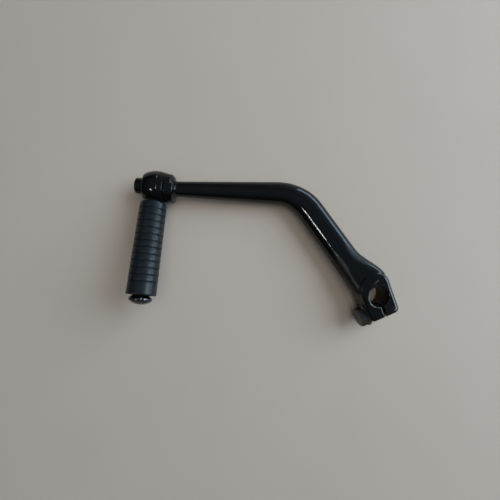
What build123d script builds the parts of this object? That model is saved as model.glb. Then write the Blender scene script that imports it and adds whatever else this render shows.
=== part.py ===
from build123d import *

import os
from math import asin, cos, degrees, pi, radians, sin, sqrt, tan

# Kick start lever: a bent forged arm that clamps on a serrated kick shaft,
# and a pedal that folds on a spindle forged on the far end of the arm.
# Lengths are in millimetres and angles in degrees.
# The lever frame has its origin in the middle of the clamp bore, the arm's
# centreline in the XY plane, and +Z on the side that faces away from the engine.
# The finished pieces are tilted a little, so that the lever lies on a table with +Z up.

# Tilt of the lying lever, about Y and then about X
rest_pitch = 2.26
rest_roll = -4.31

# Arm centreline: a lower run from the clamp to the bend, an upper run from the bend to the collar,
# and the spindle, toed up a little from the upper run
lower_run = 106.2
lower_heading = 126.0
upper_run = 105.4
upper_heading = 177.9
spindle_toe = 3.0
bend_radius = 36.0
lower_miss = 0.8

# Arm sections: round up to the bend, then wider than thick, flaring and growing squarer
# at the clamp, and narrowing again to end inside it
arm_root_radius = 6.3
arm_root_inset = 2.0
arm_bend_half_thickness = 9.75
arm_lower_half_width = 11.4
arm_flare_half_width = 15.2
arm_flare_half_thickness = 10.0
arm_flare_rise = 2.6
arm_flare_start = 40.0
arm_flare_end = 10.0
arm_flare_shift = 2.8
arm_round = 2.0
arm_flare_squareness = 3.2
arm_tail_end = 2.0
arm_tail_half_width = 11.0
arm_tail_half_thickness = 8.8
arm_tail_rise = 0.3
section_points = 24
bend_stations = 6
flare_stations = 6

# Clamp block
clamp_thickness = 22.0
clamp_half_width = 13.4
clamp_arm_side = 19.3
clamp_pinch_side = 18.7
clamp_shoulder_radius = 10.0
clamp_corner_radius = 4.5
clamp_edge_radius = 3.0
clamp_heading = 21.2
clamp_lean = 8.5
clamp_lean_heading = -46.0
slot_width = 2.0
slot_chamfer = 0.6

# Serrated bore
bore_land_radius = 8.4
serration_count = 36
serration_depth = 0.5
serration_width = 0.8
bore_chamfer = 0.55

# Pinch bolt with a flanged hexagon head
bolt_offset = 13.4
bolt_seat = 11.8
bolt_radius = 4.0
bolt_hole_clearance = 0.15
bolt_thread_clearance = 0.02
bolt_tip_inset = 0.8
bolt_tip_chamfer = 0.8
bolt_flange_radius = 9.0
bolt_flange_rim = 1.2
bolt_flange_rise = 1.2
bolt_hex_across = 14.0
bolt_head_height = 8.0
bolt_hex_chamfer = 0.9
spot_face_clearance = 0.6

# Fold spindle, neck and stop collar, all forged with the arm
spindle_radius = 6.7
spindle_stub = 7.7
spindle_end_radius = 1.8
neck_radius = 7.2
collar_length = 8.2
collar_radius = 12.5
collar_edge_radius = 0.6
collar_root_radius = 4.0
collar_root_blend = 4.5
collar_root_sink = 0.3

# Pedal boss, from the plane of the rod to its two ends, and its stop tongue
boss_outer = 9.4
boss_inner = 7.5
boss_outer_end_radius = 10.8
boss_crown_radius = 13.6
boss_crown_place = -1.0
boss_inner_end_radius = 12.8
tongue_radius = 11.9
tongue_chamfer = 2.6
tongue_start = -10.0
tongue_sweep = 90.0
fold_swing = 84.0
stop_clearance = 0.5
spindle_clearance = 0.05
tongue_clearance = 0.4
collar_gap = 0.3

# Pedal rod, from the spindle axis outwards
fold_rest_rise = 6.5
rod_radius = 6.0
rod_root_radius = 7.3
rod_root_end = 10.5
button_radius = 9.3
button_rim_bulge = 0.6
button_rim_length = 2.6
button_underside_rise = 2.0
button_dome_rise = 2.9

# Pedal rubber
rubber_start = 14.0
rubber_length = 77.0
rubber_inner_radius = 10.9
rubber_outer_radius = 11.9
rubber_shoulder = 2.2
rubber_end_round = 0.8
rubber_plain_start = 6.6
rubber_plain_end = 10.4
groove_count = 12
groove_width = 0.9
groove_depth = 0.8
rib_crown = 0.12

# Washer and circlip, in a counterbore of the pedal boss
counterbore_radius = 8.8
counterbore_depth = 3.0
washer_radius = 8.5
washer_thickness = 1.0
washer_gap = 0.1
circlip_radius = 8.4
circlip_thickness = 1.2
circlip_groove_depth = 0.6
circlip_groove_clearance = 0.05
circlip_opening = 3.0
circlip_eye_radius = 0.55
circlip_eye_angle = 24.0

# Ball detent between the boss and the stop collar
ball_radius = 2.0
ball_orbit = 9.7
ball_angle = 215.0
ball_reach = 1.5
ball_hole_clearance = 0.08
ball_track_clearance = 0.1
dimple_extra_depth = 0.3
spring_hole_depth = 8.5
spring_wire_radius = 0.35
spring_coil_radius = 1.6
spring_turns = 4


def heading_vector(angle):
    """Unit vector in the XY plane, from the angle to +X."""
    return Vector(cos(radians(angle)), sin(radians(angle)), 0)


def between(first, last, share):
    """Value at a share of the way from first to last."""
    return first + (last - first) * share


def eased(share):
    """Share that starts and ends its way from 0 to 1 gently."""
    return share * share * (3 - 2 * share)


def ring_sector(profile, start, sweep):
    """Turns a profile, drawn with X along the axis and Y as the radius, about X."""
    return Rot(X=start) * revolve(profile, Axis.X, sweep)


# Frames of the arm's two ends
away_from_bore = heading_vector(lower_heading)
bend_point = away_from_bore * lower_run
along_upper = heading_vector(upper_heading - 180)
lean_direction = heading_vector(clamp_lean_heading) * sin(radians(clamp_lean))
bore_direction = lean_direction + Vector(0, 0, cos(radians(clamp_lean)))
clamp = Plane(origin=(0, 0, 0), x_dir=heading_vector(clamp_heading), z_dir=bore_direction)
lying = Rot(Y=rest_pitch) * Rot(X=rest_roll)

# Places along the spindle, from the plane of the rod towards the arm
boss_length = boss_outer + boss_inner
collar_face = boss_inner + collar_gap
collar_end = collar_face + collar_length
spindle_end = -boss_outer - spindle_stub
seat_face = -boss_outer + counterbore_depth
washer_inner_face = seat_face - washer_gap
washer_outer_face = washer_inner_face - washer_thickness
circlip_inner_face = washer_outer_face - circlip_groove_clearance
circlip_outer_face = circlip_inner_face - circlip_thickness
circlip_groove_radius = spindle_radius - circlip_groove_depth

# Frame of the fold: the spindle along X, and the plane of the rod at its origin
arm_tip = bend_point - along_upper * upper_run
along_spindle = heading_vector(upper_heading - spindle_toe - 180)
pivot = Plane(origin=arm_tip - along_spindle * collar_end, x_dir=along_spindle, z_dir=(0, 0, 1))

# Arm centreline below the bend, which passes the bore axis at a small distance
lower_target = heading_vector(lower_heading + 90) * lower_miss
along_lower = (lower_target - bend_point).normalized()
lower_angle = along_lower.get_signed_angle(Vector(1, 0, 0), Vector(0, 0, -1))
bend_turn = lower_angle - (upper_heading - 180)
bend_tangent = bend_radius * tan(radians(abs(bend_turn) / 2))
bend_start = bend_point - along_upper * bend_tangent
bend_end = bend_point + along_lower * bend_tangent
bend_center = bend_start + heading_vector(upper_heading - 270) * bend_radius
lower_length = (lower_target - bend_end).length


def arm_section(place, heading, half_width, half_thickness, squareness=arm_round):
    """Section of the arm, square to its heading: an oval, or a squarer one."""
    across = heading_vector(heading + 90)
    plane = Plane(origin=place, x_dir=across, z_dir=heading_vector(heading))
    rim = []
    for point in range(section_points):
        angle = 2 * pi * point / section_points
        fullness = abs(cos(angle)) ** squareness + abs(sin(angle)) ** squareness
        reach = fullness ** (-1 / squareness)
        rim.append((half_width * reach * cos(angle), half_thickness * reach * sin(angle)))
    return plane * make_face(Spline(rim, periodic=True))


arm_start = arm_tip - along_upper * arm_root_inset
upper_angle = upper_heading - 180
root_section = arm_section(arm_start, upper_angle, arm_root_radius, arm_root_radius)
bend_sections = []
for station in range(bend_stations + 1):
    share = station / bend_stations
    half_width = between(arm_bend_half_thickness, arm_lower_half_width, eased(share))
    heading = upper_angle + bend_turn * share
    place = bend_center + heading_vector(heading + 90) * bend_radius
    bend_sections.append(arm_section(place, heading, half_width, arm_bend_half_thickness))
flare_sections = []
for station in range(flare_stations + 1):
    share = station / flare_stations
    flare = eased(share)
    squareness = between(arm_round, arm_flare_squareness, flare)
    half_width = between(arm_lower_half_width, arm_flare_half_width, flare)
    half_thickness = between(arm_bend_half_thickness, arm_flare_half_thickness, flare)
    distance = between(arm_flare_start, arm_flare_end, share)
    shift = heading_vector(lower_angle + 90) * arm_flare_shift + Vector(0, 0, arm_flare_rise)
    place = lower_target - along_lower * distance + shift * flare
    flare_sections.append(arm_section(place, lower_angle, half_width, half_thickness, squareness))
tail = lower_target - along_lower * arm_tail_end + Vector(0, 0, arm_tail_rise)
tail_section = arm_section(
    tail, lower_angle, arm_tail_half_width, arm_tail_half_thickness, arm_flare_squareness
)
upper_shank = loft([root_section, bend_sections[0]], ruled=True)
lower_shank = loft([bend_sections[-1], flare_sections[0]], ruled=True)
tail_shank = loft([flare_sections[-1], tail_section], ruled=True)
shank = upper_shank + loft(bend_sections) + lower_shank + loft(flare_sections) + tail_shank

# Clamp block, with the bore axis along Z and the pinch bolt along X
block_height = clamp_arm_side + clamp_pinch_side
outline = Pos(Y=(clamp_arm_side - clamp_pinch_side) / 2) * Rectangle(2 * clamp_half_width, block_height)
outline = fillet(outline.vertices().group_by(Axis.Y)[-1], clamp_shoulder_radius)
outline = fillet(outline.vertices().group_by(Axis.Y)[0], clamp_corner_radius)
block = extrude(outline, clamp_thickness / 2, both=True)
rims = block.faces().filter_by(Axis.Z).edges()
block = fillet(rims, clamp_edge_radius)

# Bore with triangular serrations and a lead-in at both ends
serration_mouth = serration_width / 2
serration_tip = bore_land_radius + serration_depth
serration_foot = bore_land_radius - serration_depth
tooth = make_face(
    Polyline(
        (serration_foot, -serration_mouth),
        (bore_land_radius, -serration_mouth),
        (serration_tip, 0),
        (bore_land_radius, serration_mouth),
        (serration_foot, serration_mouth),
        close=True,
    )
)
bore_outline = Circle(bore_land_radius) + PolarLocations(0, serration_count) * tooth
bore = extrude(bore_outline, clamp_thickness, both=True)
lead_in = Cone(
    bore_land_radius, bore_land_radius + 2 * bore_chamfer, 2 * bore_chamfer
)
upper_lead_in = Pos(Z=clamp_thickness / 2) * lead_in
lower_lead_in = Rot(X=180) * upper_lead_in
slot = Pos(Y=-clamp_pinch_side) * Box(slot_width, 2 * clamp_pinch_side, 2 * clamp_thickness)
slot_mouth = slot_width + 2 * slot_chamfer
mouth_edge = Pos(Y=-clamp_pinch_side) * Rot(Y=45) * Box(
    slot_mouth / sqrt(2), 2 * clamp_pinch_side, slot_mouth / sqrt(2)
)
slot += Pos(Z=clamp_thickness / 2) * mouth_edge
slot += Pos(Z=-clamp_thickness / 2) * mouth_edge

# Holes of the pinch bolt: clear in the head's ear, tapped in the other
bolt_frame = Pos(-bolt_seat, -bolt_offset, 0) * Rot(Y=90)
bolt_length = bolt_seat + clamp_half_width - bolt_tip_inset
clear_length = bolt_seat
bottom_up = (Align.CENTER, Align.CENTER, Align.MIN)
top_down = (Align.CENTER, Align.CENTER, Align.MAX)
clear_hole = Cylinder(bolt_radius + bolt_hole_clearance, clear_length, align=bottom_up)
tapped_hole = Cylinder(bolt_radius + bolt_thread_clearance, 2 * clamp_half_width, align=bottom_up)
spot_face = Cylinder(bolt_flange_radius + spot_face_clearance, clamp_half_width, align=top_down)
bolt_holes = bolt_frame * (clear_hole + Pos(Z=clear_length) * tapped_hole + spot_face)

# Spindle, neck and stop collar, with the spindle along X
collar_root = collar_end + collar_root_blend
root_radius = arm_root_radius - collar_root_sink
spindle_profile = Polyline(
    (spindle_end, 0),
    (spindle_end, spindle_radius),
    (circlip_outer_face - circlip_groove_clearance, spindle_radius),
    (circlip_outer_face - circlip_groove_clearance, circlip_groove_radius),
    (washer_outer_face, circlip_groove_radius),
    (washer_outer_face, spindle_radius),
    (collar_face, spindle_radius),
    (collar_face, neck_radius),
    (collar_end, neck_radius),
    (collar_root, root_radius),
    (collar_root, 0),
    close=True,
)
spindle_face = make_face(spindle_profile)
spindle_corner = spindle_face.vertices().group_by(Axis.X)[0].sort_by(Axis.Y)[-1]
spindle = revolve(fillet(spindle_corner, spindle_end_radius), Axis.X)
collar_profile = make_face(
    [
        Polyline(
            (collar_root, 0),
            (collar_face, 0),
            (collar_face, collar_radius - collar_edge_radius),
            (collar_face + collar_edge_radius, collar_radius),
            (collar_end - collar_edge_radius, collar_radius),
            (collar_end, collar_radius - collar_edge_radius),
            (collar_end, root_radius + collar_root_radius),
        ),
        JernArc(
            (collar_end, root_radius + collar_root_radius),
            (0, -1),
            collar_root_radius,
            90,
        ),
        Polyline(
            (collar_end + collar_root_radius, root_radius),
            (collar_root, root_radius),
            (collar_root, 0),
        ),
    ]
)
collar_start = tongue_start + tongue_sweep + stop_clearance
collar_sweep = 360 - tongue_sweep - fold_swing - 2 * stop_clearance
collar = ring_sector(collar_profile, collar_start, collar_sweep)

# Track of the detent ball in the collar's face, with a deeper dimple at both ends
ball_place = collar_face + ball_reach - ball_radius
track_radius = ball_radius + ball_track_clearance
track_profile = Pos(ball_place, ball_orbit) * Circle(track_radius)
track = ring_sector(track_profile, ball_angle - fold_swing, fold_swing)
dimple = Pos(ball_place + dimple_extra_depth, ball_orbit, 0) * Sphere(track_radius)
dimples = Rot(X=ball_angle) * dimple + Rot(X=ball_angle - fold_swing) * dimple

# The whole arm as one forging
arm = shank + clamp * block + pivot * (spindle + collar)
arm = arm - clamp * (bore + upper_lead_in + lower_lead_in + slot + bolt_holes)
arm = arm - pivot * (track + dimples)

# Pinch bolt, with its head below the seat and its thread along Z
hex_radius = bolt_hex_across / sqrt(3)
flange_profile = Polyline(
    (0, 0),
    (bolt_flange_radius, 0),
    (bolt_flange_radius, -bolt_flange_rim),
    (bolt_hex_across / 2, -bolt_flange_rim - bolt_flange_rise),
    (0, -bolt_flange_rim - bolt_flange_rise),
    close=True,
)
flange = revolve(Rot(X=90) * make_face(flange_profile), Axis.Z)
hexagon = extrude(RegularPolygon(hex_radius, 6), -bolt_head_height)
crown_profile = Polyline(
    (0, 0),
    (hex_radius, 0),
    (hex_radius, -bolt_head_height + bolt_hex_chamfer),
    (hex_radius - sqrt(3) * bolt_hex_chamfer, -bolt_head_height),
    (0, -bolt_head_height),
    close=True,
)
crown = revolve(Rot(X=90) * make_face(crown_profile), Axis.Z)
bolt_shank = Cylinder(bolt_radius, bolt_length, align=bottom_up)
bolt_shank = chamfer(bolt_shank.edges().group_by(Axis.Z)[-1], bolt_tip_chamfer)
bolt = clamp * bolt_frame * (flange + (hexagon & crown) + bolt_shank)

# Pedal, with the spindle along X and the rod along +Y before it is turned to its rest
boss_profile = make_face(
    [
        Polyline(
            (boss_inner, boss_inner_end_radius),
            (boss_inner, 0),
            (-boss_outer, 0),
            (-boss_outer, boss_outer_end_radius),
        ),
        ThreePointArc(
            (-boss_outer, boss_outer_end_radius),
            (boss_crown_place, boss_crown_radius),
            (boss_inner, boss_inner_end_radius),
        ),
    ]
)
rod_angle = 180 - fold_rest_rise
rubber_end = rubber_start + rubber_length
button_edge = button_radius - button_rim_bulge
button_underside = rubber_end + button_underside_rise
button_rim_end = button_underside + button_rim_length
button_end = button_rim_end + button_dome_rise
rod_start = (spindle_radius + boss_crown_radius) / 2
dome_radius = (button_edge**2 + button_dome_rise**2) / (2 * button_dome_rise)
dome_angle = degrees(asin(button_edge / dome_radius))
rod_profile = make_face(
    [
        Polyline(
            (0, button_end),
            (0, rod_start),
            (rod_root_radius, rod_start),
            (rod_root_radius, rod_root_end),
            (rod_radius, rubber_start),
            (rod_radius, rubber_end),
            (button_edge, button_underside),
        ),
        ThreePointArc(
            (button_edge, button_underside),
            (button_radius, button_underside + button_rim_length / 2),
            (button_edge, button_rim_end),
        ),
        CenterArc((0, button_end - dome_radius), dome_radius, 90 - dome_angle, dome_angle),
    ]
)
rod = revolve(rod_profile, Axis.Y)
tongue_end = collar_end
tongue_profile = make_face(
    Polyline(
        (0, neck_radius + tongue_clearance),
        (tongue_end, neck_radius + tongue_clearance),
        (tongue_end, tongue_radius - tongue_chamfer),
        (tongue_end - tongue_chamfer, tongue_radius),
        (boss_inner, boss_inner_end_radius),
        (0, boss_inner_end_radius),
        close=True,
    )
)
tongue = ring_sector(tongue_profile, tongue_start - rod_angle, tongue_sweep)
boss = revolve(boss_profile, Axis.X)
ball_hole_depth = boss_inner - spring_hole_depth
ball_hole = Cylinder(ball_radius + ball_hole_clearance, spring_hole_depth, align=bottom_up)
ball_hole = Pos(ball_hole_depth, ball_orbit, 0) * Rot(Y=90) * ball_hole
spindle_bore = Cylinder(spindle_radius + spindle_clearance, boss_length, align=bottom_up)
spindle_bore = Pos(X=-boss_outer) * Rot(Y=90) * spindle_bore
counterbore = Cylinder(counterbore_radius, counterbore_depth, align=bottom_up)
counterbore = Pos(X=-boss_outer) * Rot(Y=90) * counterbore
pedal = boss + rod + tongue - spindle_bore - counterbore
pedal = pedal - Rot(X=ball_angle - rod_angle) * ball_hole
folded = pivot * Rot(X=rod_angle)

# Pedal rubber, ribbed between two plain bands
ribs_length = rubber_length - rubber_plain_start - rubber_plain_end
groove_pitch = ribs_length / (groove_count - 1)


def rubber_radius(distance):
    """Outer radius of the tapered rubber at a distance along it."""
    return between(rubber_inner_radius, rubber_outer_radius, distance / rubber_length)


rubber_pieces = [
    Polyline(
        (rubber_radius(0) - rubber_shoulder, rubber_start),
        (rod_radius, rubber_start),
        (rod_radius, rubber_end),
        (rubber_radius(rubber_length) - rubber_end_round, rubber_end),
    ),
    RadiusArc(
        (rubber_radius(rubber_length) - rubber_end_round, rubber_end),
        (rubber_radius(rubber_length), rubber_end - rubber_end_round),
        rubber_end_round,
    ),
    RadiusArc(
        (rubber_radius(rubber_shoulder), rubber_start + rubber_shoulder),
        (rubber_radius(0) - rubber_shoulder, rubber_start),
        rubber_shoulder,
    ),
]
rib_edge = (rubber_radius(rubber_shoulder), rubber_start + rubber_shoulder)
for groove in range(groove_count):
    middle = rubber_plain_start + groove * groove_pitch
    near = middle - groove_width / 2
    far = middle + groove_width / 2
    near_edge = (rubber_radius(near), rubber_start + near)
    floor = (rubber_radius(middle) - groove_depth, rubber_start + middle)
    far_edge = (rubber_radius(far), rubber_start + far)
    if groove == 0:
        rubber_pieces.append(Line(rib_edge, near_edge))
    else:
        crest = rubber_radius(middle - groove_pitch / 2) + rib_crown
        crest_place = rubber_start + middle - groove_pitch / 2
        rubber_pieces.append(ThreePointArc(rib_edge, (crest, crest_place), near_edge))
    rubber_pieces.append(Polyline(near_edge, floor, far_edge))
    rib_edge = far_edge
rubber_pieces.append(Line(rib_edge, (rubber_radius(rubber_length), rubber_end - rubber_end_round)))
rubber = revolve(make_face(rubber_pieces), Axis.Y)

# Washer and circlip on the spindle
washer_inner_radius = spindle_radius + spindle_clearance
washer_face = Circle(washer_radius) - Circle(washer_inner_radius)
washer = Pos(X=washer_outer_face) * Rot(Y=90) * extrude(washer_face, washer_thickness)
circlip_inner_radius = circlip_groove_radius + circlip_groove_clearance
circlip_middle = (circlip_radius + circlip_inner_radius) / 2
circlip_face = Circle(circlip_radius) - Circle(circlip_inner_radius)
circlip_face -= Pos(X=circlip_radius) * Rectangle(2 * circlip_radius, circlip_opening)
for side in (-1, 1):
    eye_place = heading_vector(side * circlip_eye_angle) * circlip_middle
    circlip_face -= Pos(eye_place) * Circle(circlip_eye_radius)
circlip = Pos(X=circlip_outer_face) * Rot(Y=90) * extrude(circlip_face, circlip_thickness)

# Ball detent: the ball and the spring that presses it out of the boss
ball = Rot(X=ball_angle) * Pos(ball_place, ball_orbit, 0) * Sphere(ball_radius)
spring_room = ball_place - ball_radius - ball_hole_depth
coil_height = spring_room - 2 * spring_wire_radius
coil = Helix(coil_height / spring_turns, coil_height, spring_coil_radius)
wire_section = Plane(origin=coil @ 0, z_dir=coil % 0) * Circle(spring_wire_radius)
spring = sweep(wire_section, coil)
spring_foot = Pos(ball_hole_depth + spring_wire_radius, ball_orbit, 0) * Rot(Y=90)
spring = Rot(X=ball_angle) * spring_foot * spring

# One file for each piece, as the lever lies on the table
pieces = {
    "kick_arm": arm,
    "pinch_bolt": bolt,
    "fold_pedal": folded * pedal,
    "grip_rubber": folded * rubber,
    "spindle_washer": pivot * washer,
    "spindle_circlip": pivot * circlip,
    "detent_ball": pivot * ball,
    "detent_spring": pivot * spring,
}
os.makedirs("parts", exist_ok=True)
for name, piece in pieces.items():
    export_step(lying * piece, f"parts/{name}.step")
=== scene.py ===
"""Studio scene of a kick start lever lying on a pale floor.

Metres throughout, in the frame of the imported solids: the origin is the middle of the clamp bore
and +Z is up. The pieces keep the shapes of the solids. This script gives them their finishes and
adds the floor, the lamps, the room and the camera.
"""
import math
from types import SimpleNamespace

import bpy
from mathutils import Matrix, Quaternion, Vector


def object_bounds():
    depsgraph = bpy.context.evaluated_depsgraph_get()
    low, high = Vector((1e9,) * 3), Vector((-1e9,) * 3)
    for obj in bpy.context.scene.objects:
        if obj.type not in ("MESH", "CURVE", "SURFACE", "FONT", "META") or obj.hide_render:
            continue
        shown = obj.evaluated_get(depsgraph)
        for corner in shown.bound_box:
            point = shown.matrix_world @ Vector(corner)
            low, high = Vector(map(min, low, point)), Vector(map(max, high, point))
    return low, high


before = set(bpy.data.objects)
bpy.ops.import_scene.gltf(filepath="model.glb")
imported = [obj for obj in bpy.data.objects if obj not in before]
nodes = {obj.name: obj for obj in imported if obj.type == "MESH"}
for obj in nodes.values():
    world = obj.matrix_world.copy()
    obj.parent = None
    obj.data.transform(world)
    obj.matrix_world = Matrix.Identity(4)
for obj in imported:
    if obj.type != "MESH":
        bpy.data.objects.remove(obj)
solid_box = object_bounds()
scene = bpy.context.scene
scene.view_settings.view_transform = "Standard"

# Camera straight above the lever
floor_height = solid_box[0].z
camera_foot = Vector((-0.1042, 0.0379, floor_height))
camera_height = 0.306
nearest_shown = 0.01
sensor_width = 36.0
image_width = 500
focal_length_pixels = 345

camera_data = bpy.data.cameras.new("camera")
camera_data.sensor_width = sensor_width
camera_data.lens = focal_length_pixels * sensor_width / image_width
camera_data.clip_start = nearest_shown
camera = bpy.data.objects.new("camera", camera_data)
camera.location = camera_foot + Vector((0, 0, camera_height))
scene.collection.objects.link(camera)
scene.camera = camera

# Pairs that a ramp goes between
rise = (0.0, 1.0)
fall = (1.0, 0.0)
noise_span = (0.3, 0.7)

# Clamp: its three axes, and how far the wear reaches round the bore and the slot
bore_middle = (0, 0, 0)
bore_axis = (0.1418, -0.0317, 0.9894)
bolt_axis = (0.9239, 0.3630, -0.1208)
slot_axis = (-0.3553, 0.9312, 0.0808)
bore_wear_radius = 0.0094
slot_wear_half_width = 0.0015
mouth_height = 0.0103
wear_fade = 0.0002

# Flare: where its dull flanks start and end along shank_axis, and how far they face along flank_axis
shank_axis = (0.594, -0.804, 0)
flank_axis = (0.804, 0.594, 0)
flare_start = (-0.052, -0.040)
left_flank_end = (-0.012, -0.006)
right_flank_end = (-0.028, -0.020)
left_facing = (-0.40, -0.15)
right_facing = (0.15, 0.40)

# Pedal: its two axes, the parting line round the boss, and the shoulder of the button at its end
pivot = (-0.1838, 0.0909, 0.0004)
fold_axis = (-0.9955, 0.0886, 0.0326)
rod_axis = (-0.0811, -0.9783, 0.1906)
ridge_place = -0.0026
ridge_half_width = 0.0006
ridge_height = 0.0003
shoulder_start = 0.0912
shoulder_end = 0.0955
shoulder_fade = 0.0006

# Finishes: colours, and roughness as a pair
enamel_dark = (0.0016, 0.0018, 0.0020)
enamel_light = (0.0040, 0.0044, 0.0048)
enamel_roughness = (0.05, 0.11)
enamel_ior = 1.40
added_roughness = (0.28, 0.40)
bore_steel = (0.022, 0.020, 0.019)
mouth_steel = (0.065, 0.064, 0.063)
shoulder_steel = (0.11, 0.11, 0.115)
rubber_dark = (0.0048, 0.0080, 0.0115)
rubber_light = (0.0080, 0.0125, 0.0175)
# The colour painted into the rubber's grooves and along their rib edges as shade
rubber_painted_shade = (0.0010, 0.0012, 0.0014)
rubber_roughness = (0.34, 0.70)
rubber_ior = 1.42
floor_dark = (0.437, 0.412, 0.390)
floor_light = (0.467, 0.442, 0.419)
floor_roughness = 0.7

# Edges and crevices: widths, and the cosines between rounded and plain normal that mark an edge
enamel_edge = 0.0012
rubber_edge = 0.0014
# Width of the band along the rubber's rib edges that is painted darker as shade
rubber_painted_shade_edge = 0.0020
steel_edge = 0.0006
sharpest_cosine = 0.80
rubber_flat_cosine = 0.999
steel_flat_cosine = 0.98
# Reach and span of the ambient occlusion that paints shade into the rubber's grooves
groove_shade_reach = 0.002
groove_shade_span = (0.45, 0.95)
edge_samples = 8


# Node helpers
def start_material(name):
    """A new material, its node tree and its Principled shader."""
    material = bpy.data.materials.new(name)
    material.use_nodes = True
    tree = material.node_tree
    return material, tree, tree.nodes["Principled BSDF"]


def add(tree, kind, **settings):
    """A node of that kind, with its properties set by name."""
    node = tree.nodes.new(kind)
    for name, value in settings.items():
        setattr(node, name, value)
    return node


def feed(tree, value, socket):
    """Links value to the socket where it is a socket itself, and otherwise sets it there."""
    if isinstance(value, bpy.types.NodeSocket):
        tree.links.new(value, socket)
    else:
        socket.default_value = value


def noise(tree, place, scale, detail):
    """The grey value of a noise texture; scale is features per metre."""
    texture = add(tree, "ShaderNodeTexNoise")
    texture.inputs["Scale"].default_value = scale
    texture.inputs["Detail"].default_value = detail
    tree.links.new(place, texture.inputs["Vector"])
    return texture.outputs["Fac"]


def ramp(tree, value, span, result):
    """Maps value from the pair span to the pair result, clamped."""
    mapping = add(tree, "ShaderNodeMapRange", clamp=True)
    mapping.inputs["From Min"].default_value = span[0]
    mapping.inputs["From Max"].default_value = span[1]
    mapping.inputs["To Min"].default_value = result[0]
    mapping.inputs["To Max"].default_value = result[1]
    tree.links.new(value, mapping.inputs["Value"])
    return mapping.outputs["Result"]


def mix_colours(tree, share, first, second):
    """A colour that goes from first to second as share goes from 0 to 1."""
    mixer = add(tree, "ShaderNodeMix", data_type="RGBA")
    tree.links.new(share, mixer.inputs[0])
    for socket, colour in ((mixer.inputs[6], first), (mixer.inputs[7], second)):
        if isinstance(colour, tuple):
            colour = (*colour, 1)
        feed(tree, colour, socket)
    return mixer.outputs[2]


def bump(tree, height, distance, below=None):
    """A bumped normal; distance is the height of the bumps in metres, below the normal they stand on."""
    node = add(tree, "ShaderNodeBump")
    node.inputs["Distance"].default_value = distance
    tree.links.new(height, node.inputs["Height"])
    if below is not None:
        tree.links.new(below, node.inputs["Normal"])
    return node.outputs["Normal"]


def object_place(tree):
    """The point on the surface, in the frame of the solids."""
    return add(tree, "ShaderNodeTexCoord").outputs["Object"]


def plain_normal(tree):
    """The surface's own normal."""
    return add(tree, "ShaderNodeNewGeometry").outputs["Normal"]


def calculate(tree, operation, first, second=None):
    """A math node on one or two values; each is a socket or a number."""
    node = add(tree, "ShaderNodeMath", operation=operation)
    feed(tree, first, node.inputs[0])
    if second is not None:
        feed(tree, second, node.inputs[1])
    return node.outputs["Value"]


def dot(tree, first, second):
    """The dot product of two vectors; each is a socket or three numbers."""
    node = add(tree, "ShaderNodeVectorMath", operation="DOT_PRODUCT")
    feed(tree, first, node.inputs[0])
    feed(tree, second, node.inputs[1])
    return node.outputs["Value"]


def along_axis(tree, place, origin, axis):
    """How far the point lies from origin along axis, in metres."""
    offset = add(tree, "ShaderNodeVectorMath", operation="SUBTRACT")
    feed(tree, place, offset.inputs[0])
    feed(tree, origin, offset.inputs[1])
    return dot(tree, offset.outputs["Vector"], axis)


def soft_edges(tree, radius):
    """The surface's normal, with each edge rounded off by radius metres."""
    node = add(tree, "ShaderNodeBevel", samples=edge_samples)
    node.inputs["Radius"].default_value = radius
    return node.outputs["Normal"]


def edge_share(tree, radius, flat_cosine):
    """0 on open faces, up to 1 along the edges; flat_cosine is the cosine at which it starts."""
    cosine = dot(tree, soft_edges(tree, radius), plain_normal(tree))
    return ramp(tree, cosine, (sharpest_cosine, flat_cosine), fall)


# Materials
def start_enamel(name):
    """Glossy black stoving enamel over a forging, with the sockets that finishes by place build on."""
    material, tree, shader = start_material(name)
    place = object_place(tree)
    cloud = noise(tree, place, scale=60, detail=3)
    colour = mix_colours(tree, cloud, enamel_dark, enamel_light)
    roughness = ramp(tree, cloud, noise_span, enamel_roughness)
    swell = noise(tree, place, scale=110, detail=2)
    waves = bump(tree, swell, distance=0.00014, below=soft_edges(tree, enamel_edge))
    peel = bump(tree, noise(tree, place, scale=800, detail=2), distance=0.00004, below=waves)
    tree.links.new(colour, shader.inputs["Base Color"])
    tree.links.new(roughness, shader.inputs["Roughness"])
    tree.links.new(peel, shader.inputs["Normal"])
    shader.inputs["IOR"].default_value = enamel_ior
    return SimpleNamespace(
        material=material,
        tree=tree,
        shader=shader,
        place=place,
        colour=colour,
        roughness=roughness,
        normal=peel,
    )


def show_bare_metal(enamel, share, metal):
    """Puts bare metal of that colour in place of the enamel where share is 1."""
    tree = enamel.tree
    colour = mix_colours(tree, share, enamel.colour, metal)
    tree.links.new(colour, enamel.shader.inputs["Base Color"])
    tree.links.new(share, enamel.shader.inputs["Metallic"])


def flank_dullness(tree, place):
    """The roughness to add on the flanks of the flare, in patches; 0 elsewhere."""
    reach = along_axis(tree, place, bore_middle, shank_axis)
    sideways = dot(tree, plain_normal(tree), flank_axis)
    on_left = ramp(tree, sideways, left_facing, fall)
    on_right = ramp(tree, sideways, right_facing, rise)
    left = calculate(tree, "MULTIPLY", on_left, ramp(tree, reach, left_flank_end, fall))
    right = calculate(tree, "MULTIPLY", on_right, ramp(tree, reach, right_flank_end, fall))
    on_flank = calculate(tree, "MAXIMUM", left, right)
    dull = calculate(tree, "MULTIPLY", ramp(tree, reach, flare_start, rise), on_flank)
    patches = ramp(tree, noise(tree, place, scale=90, detail=3), noise_span, added_roughness)
    return calculate(tree, "MULTIPLY", dull, patches)


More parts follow.
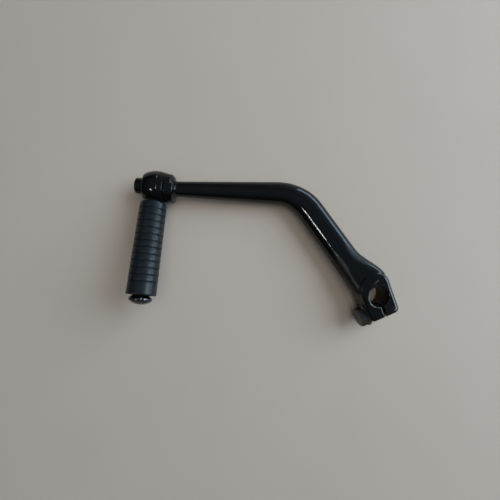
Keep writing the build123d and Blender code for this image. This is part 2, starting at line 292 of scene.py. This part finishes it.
def clamp_wear(tree, place):
    """Where the enamel is worn off in the bore and the slot, and the metal's colour there."""
    height = along_axis(tree, place, bore_middle, bore_axis)
    across = along_axis(tree, place, bore_middle, bolt_axis)
    inwards = along_axis(tree, place, bore_middle, slot_axis)
    across_square = calculate(tree, "MULTIPLY", across, across)
    inwards_square = calculate(tree, "MULTIPLY", inwards, inwards)
    radius = calculate(tree, "SQRT", calculate(tree, "ADD", across_square, inwards_square))
    in_bore = ramp(tree, radius, (bore_wear_radius, bore_wear_radius + wear_fade), fall)
    from_slot = calculate(tree, "ABSOLUTE", across)
    slot_sides = ramp(tree, from_slot, (slot_wear_half_width, slot_wear_half_width + wear_fade), fall)
    pinch_end = ramp(tree, inwards, (-wear_fade, 0.0), fall)
    in_slot = calculate(tree, "MULTIPLY", slot_sides, pinch_end)
    worn = calculate(tree, "MAXIMUM", in_bore, in_slot)
    from_middle = calculate(tree, "ABSOLUTE", height)
    at_mouth = ramp(tree, from_middle, (mouth_height, mouth_height + wear_fade), rise)
    return worn, mix_colours(tree, at_mouth, bore_steel, mouth_steel)


def make_arm_enamel():
    """Enamel that is dull on the flanks of the flare and worn off in the clamp's bore and slot."""
    enamel = start_enamel("arm_enamel")
    tree = enamel.tree
    roughness = calculate(tree, "ADD", enamel.roughness, flank_dullness(tree, enamel.place))
    tree.links.new(roughness, enamel.shader.inputs["Roughness"])
    worn, metal = clamp_wear(tree, enamel.place)
    show_bare_metal(enamel, worn, metal)
    return enamel.material


def make_pedal_enamel():
    """Enamel with a parting line, a low ridge round the boss, and rubbed off the button's shoulder."""
    enamel = start_enamel("pedal_enamel")
    tree = enamel.tree
    along_boss = along_axis(tree, enamel.place, pivot, fold_axis)
    from_ridge = calculate(tree, "ABSOLUTE", calculate(tree, "SUBTRACT", along_boss, ridge_place))
    ridge = ramp(tree, from_ridge, (0.0, ridge_half_width), fall)
    ridged = bump(tree, ridge, distance=ridge_height, below=enamel.normal)
    tree.links.new(ridged, enamel.shader.inputs["Normal"])
    reach = along_axis(tree, enamel.place, pivot, rod_axis)
    past_start = ramp(tree, reach, (shoulder_start, shoulder_start + shoulder_fade), rise)
    before_end = ramp(tree, reach, (shoulder_end - shoulder_fade, shoulder_end), fall)
    show_bare_metal(enamel, calculate(tree, "MULTIPLY", past_start, before_end), shoulder_steel)
    return enamel.material


def make_rubber():
    """Black moulded rubber, a little blue, with painted shade darkening its grooves and rib edges, which
    are duller too.
    """
    material, tree, shader = start_material("grip_rubber")
    place = object_place(tree)
    cloud = noise(tree, place, scale=90, detail=4)
    open_colour = mix_colours(tree, cloud, rubber_dark, rubber_light)
    # Painted shade: the colour goes darker in the grooves, found by ambient occlusion, and along the rib
    # edges
    corner = add(tree, "ShaderNodeAmbientOcclusion", samples=edge_samples)
    corner.inputs["Distance"].default_value = groove_shade_reach
    painted_groove_shade = ramp(tree, corner.outputs["AO"], groove_shade_span, fall)
    painted_edge_shade = edge_share(tree, rubber_painted_shade_edge, rubber_flat_cosine)
    painted_shade_share = calculate(tree, "MAXIMUM", painted_groove_shade, painted_edge_shade)
    colour = mix_colours(tree, painted_shade_share, open_colour, rubber_painted_shade)
    grains = noise(tree, place, scale=2500, detail=3)
    grainy = bump(tree, grains, distance=0.00003, below=soft_edges(tree, rubber_edge))
    tree.links.new(colour, shader.inputs["Base Color"])
    tree.links.new(ramp(tree, painted_shade_share, rise, rubber_roughness), shader.inputs["Roughness"])
    tree.links.new(grainy, shader.inputs["Normal"])
    shader.inputs["IOR"].default_value = rubber_ior
    return material


def make_steel(name, dark, light, rubbed, roughness):
    """Bare or blackened steel with fine grain, rubbed brighter along its edges."""
    material, tree, shader = start_material(name)
    place = object_place(tree)
    cloud = noise(tree, place, scale=300, detail=4)
    face = mix_colours(tree, cloud, dark, light)
    colour = mix_colours(tree, edge_share(tree, steel_edge, steel_flat_cosine), face, rubbed)
    grainy = bump(tree, noise(tree, place, scale=1500, detail=3), distance=0.00002)
    tree.links.new(colour, shader.inputs["Base Color"])
    tree.links.new(ramp(tree, cloud, noise_span, roughness), shader.inputs["Roughness"])
    tree.links.new(grainy, shader.inputs["Normal"])
    shader.inputs["Metallic"].default_value = 1.0
    return material


arm_enamel = make_arm_enamel()
pedal_enamel = make_pedal_enamel()
rubber = make_rubber()
black_oxide = make_steel(
    "black_oxide",
    dark=(0.060, 0.052, 0.048),
    light=(0.130, 0.114, 0.105),
    rubbed=(0.26, 0.24, 0.23),
    roughness=(0.34, 0.48),
)
plain_steel = make_steel(
    "plain_steel",
    dark=(0.42, 0.41, 0.40),
    light=(0.60, 0.59, 0.57),
    rubbed=(0.66, 0.65, 0.63),
    roughness=(0.19, 0.33),
)
finishes = {
    "kick_arm": arm_enamel,
    "fold_pedal": pedal_enamel,
    "grip_rubber": rubber,
    "pinch_bolt": black_oxide,
    "spindle_washer": plain_steel,
    "spindle_circlip": plain_steel,
    "detent_ball": plain_steel,
    "detent_spring": plain_steel,
}
for name, material in finishes.items():
    slots = nodes[name].data.materials
    slots.clear()
    slots.append(material)

# Floor
floor_half_width = 6
floor_corners = [
    (camera_foot.x + x * floor_half_width, camera_foot.y + y * floor_half_width, floor_height)
    for x, y in ((-1, -1), (1, -1), (1, 1), (-1, 1))
]
floor_mesh = bpy.data.meshes.new("floor")
floor_mesh.from_pydata(floor_corners, [], [(0, 1, 2, 3)])
floor = bpy.data.objects.new("floor", floor_mesh)
scene.collection.objects.link(floor)
floor_material, floor_tree, floor_shader = start_material("pale_floor")
floor_cloud = noise(floor_tree, object_place(floor_tree), scale=12, detail=3)
floor_colour = mix_colours(floor_tree, floor_cloud, floor_dark, floor_light)
floor_tree.links.new(floor_colour, floor_shader.inputs["Base Color"])
floor_shader.inputs["Roughness"].default_value = floor_roughness
floor_mesh.materials.append(floor_material)


# Lamps
def area_light(name, place, aim, size, power, colour, turn=0):
    """A rectangular lamp at place, facing aim and spun about its own axis by turn degrees."""
    data = bpy.data.lights.new(name, "AREA")
    data.shape = "RECTANGLE"
    data.size, data.size_y = size
    data.energy = power
    data.color = colour
    lamp = bpy.data.objects.new(name, data)
    facing = (aim - place).to_track_quat("-Z", "Y")
    lamp.rotation_mode = "QUATERNION"
    lamp.rotation_quaternion = facing @ Quaternion((0, 0, 1), math.radians(turn))
    lamp.location = place
    scene.collection.objects.link(lamp)
    return lamp


middle = Vector((camera_foot.x, camera_foot.y, 0))
down = Vector((0, 0, -1))
side_place = middle + Vector((1.40, 0.70, 1.1))
top_place = middle + Vector((0.15, 0.1, 1.7))
small_place = middle + Vector((-1.27, -0.89, 2.0))
panel_place = middle + Vector((1.20, -0.16, 0.86))
window_aim = middle + Vector((0.28, -0.41, 0))
window_place = window_aim + Vector((1.95, 1.35, 0.36))

side_lamp = area_light("side_lamp", side_place, middle, size=(1.5, 1.5), power=37, colour=(0.88, 0.96, 1))
top_lamp = area_light("top_lamp", top_place, middle, size=(1.2, 1.2), power=9.5, colour=(1, 0.79, 0.57))
small_lamp = area_light(
    "small_lamp",
    small_place,
    small_place + down,
    size=(0.23, 0.23),
    power=8.5,
    colour=(1, 0.99, 0.97),
    turn=36.4,
)
panel = area_light("panel", panel_place, middle, size=(0.7, 0.34), power=9.5, colour=(0.70, 0.87, 1))
window = area_light("window", window_place, window_aim, size=(3.6, 0.7), power=40, colour=(0.52, 0.75, 1))

# The two broad soft lamps light the surfaces and cast the shadows, and aren't mirrored
for lamp in (side_lamp, top_lamp):
    lamp.visible_glossy = False

# The small lamp, the panel and the low window are only mirrored
for lamp in (small_lamp, panel, window):
    lamp.visible_diffuse = False

# Room: dark at the sides, a little paler overhead, and blue low down towards the window
wall_colour = (0.035, 0.038, 0.040)
overhead_colour = (0.145, 0.190, 0.225)
window_glow = (0.30, 0.42, 0.54)
overhead_span = (0.45, 1.0)
window_direction = (0.80, 0.58, -0.15)
window_span = (0.35, 0.95)

world = bpy.data.worlds.new("studio")
world.use_nodes = True
room = world.node_tree
direction = add(room, "ShaderNodeTexCoord").outputs["Generated"]
direction_parts = add(room, "ShaderNodeSeparateXYZ")
room.links.new(direction, direction_parts.inputs["Vector"])
overhead_share = ramp(room, direction_parts.outputs["Z"], overhead_span, rise)
window_share = ramp(room, dot(room, direction, window_direction), window_span, rise)
walls = mix_colours(room, overhead_share, wall_colour, overhead_colour)
room_colour = mix_colours(room, window_share, walls, window_glow)
room.links.new(room_colour, room.nodes["Background"].inputs["Color"])
scene.world = world
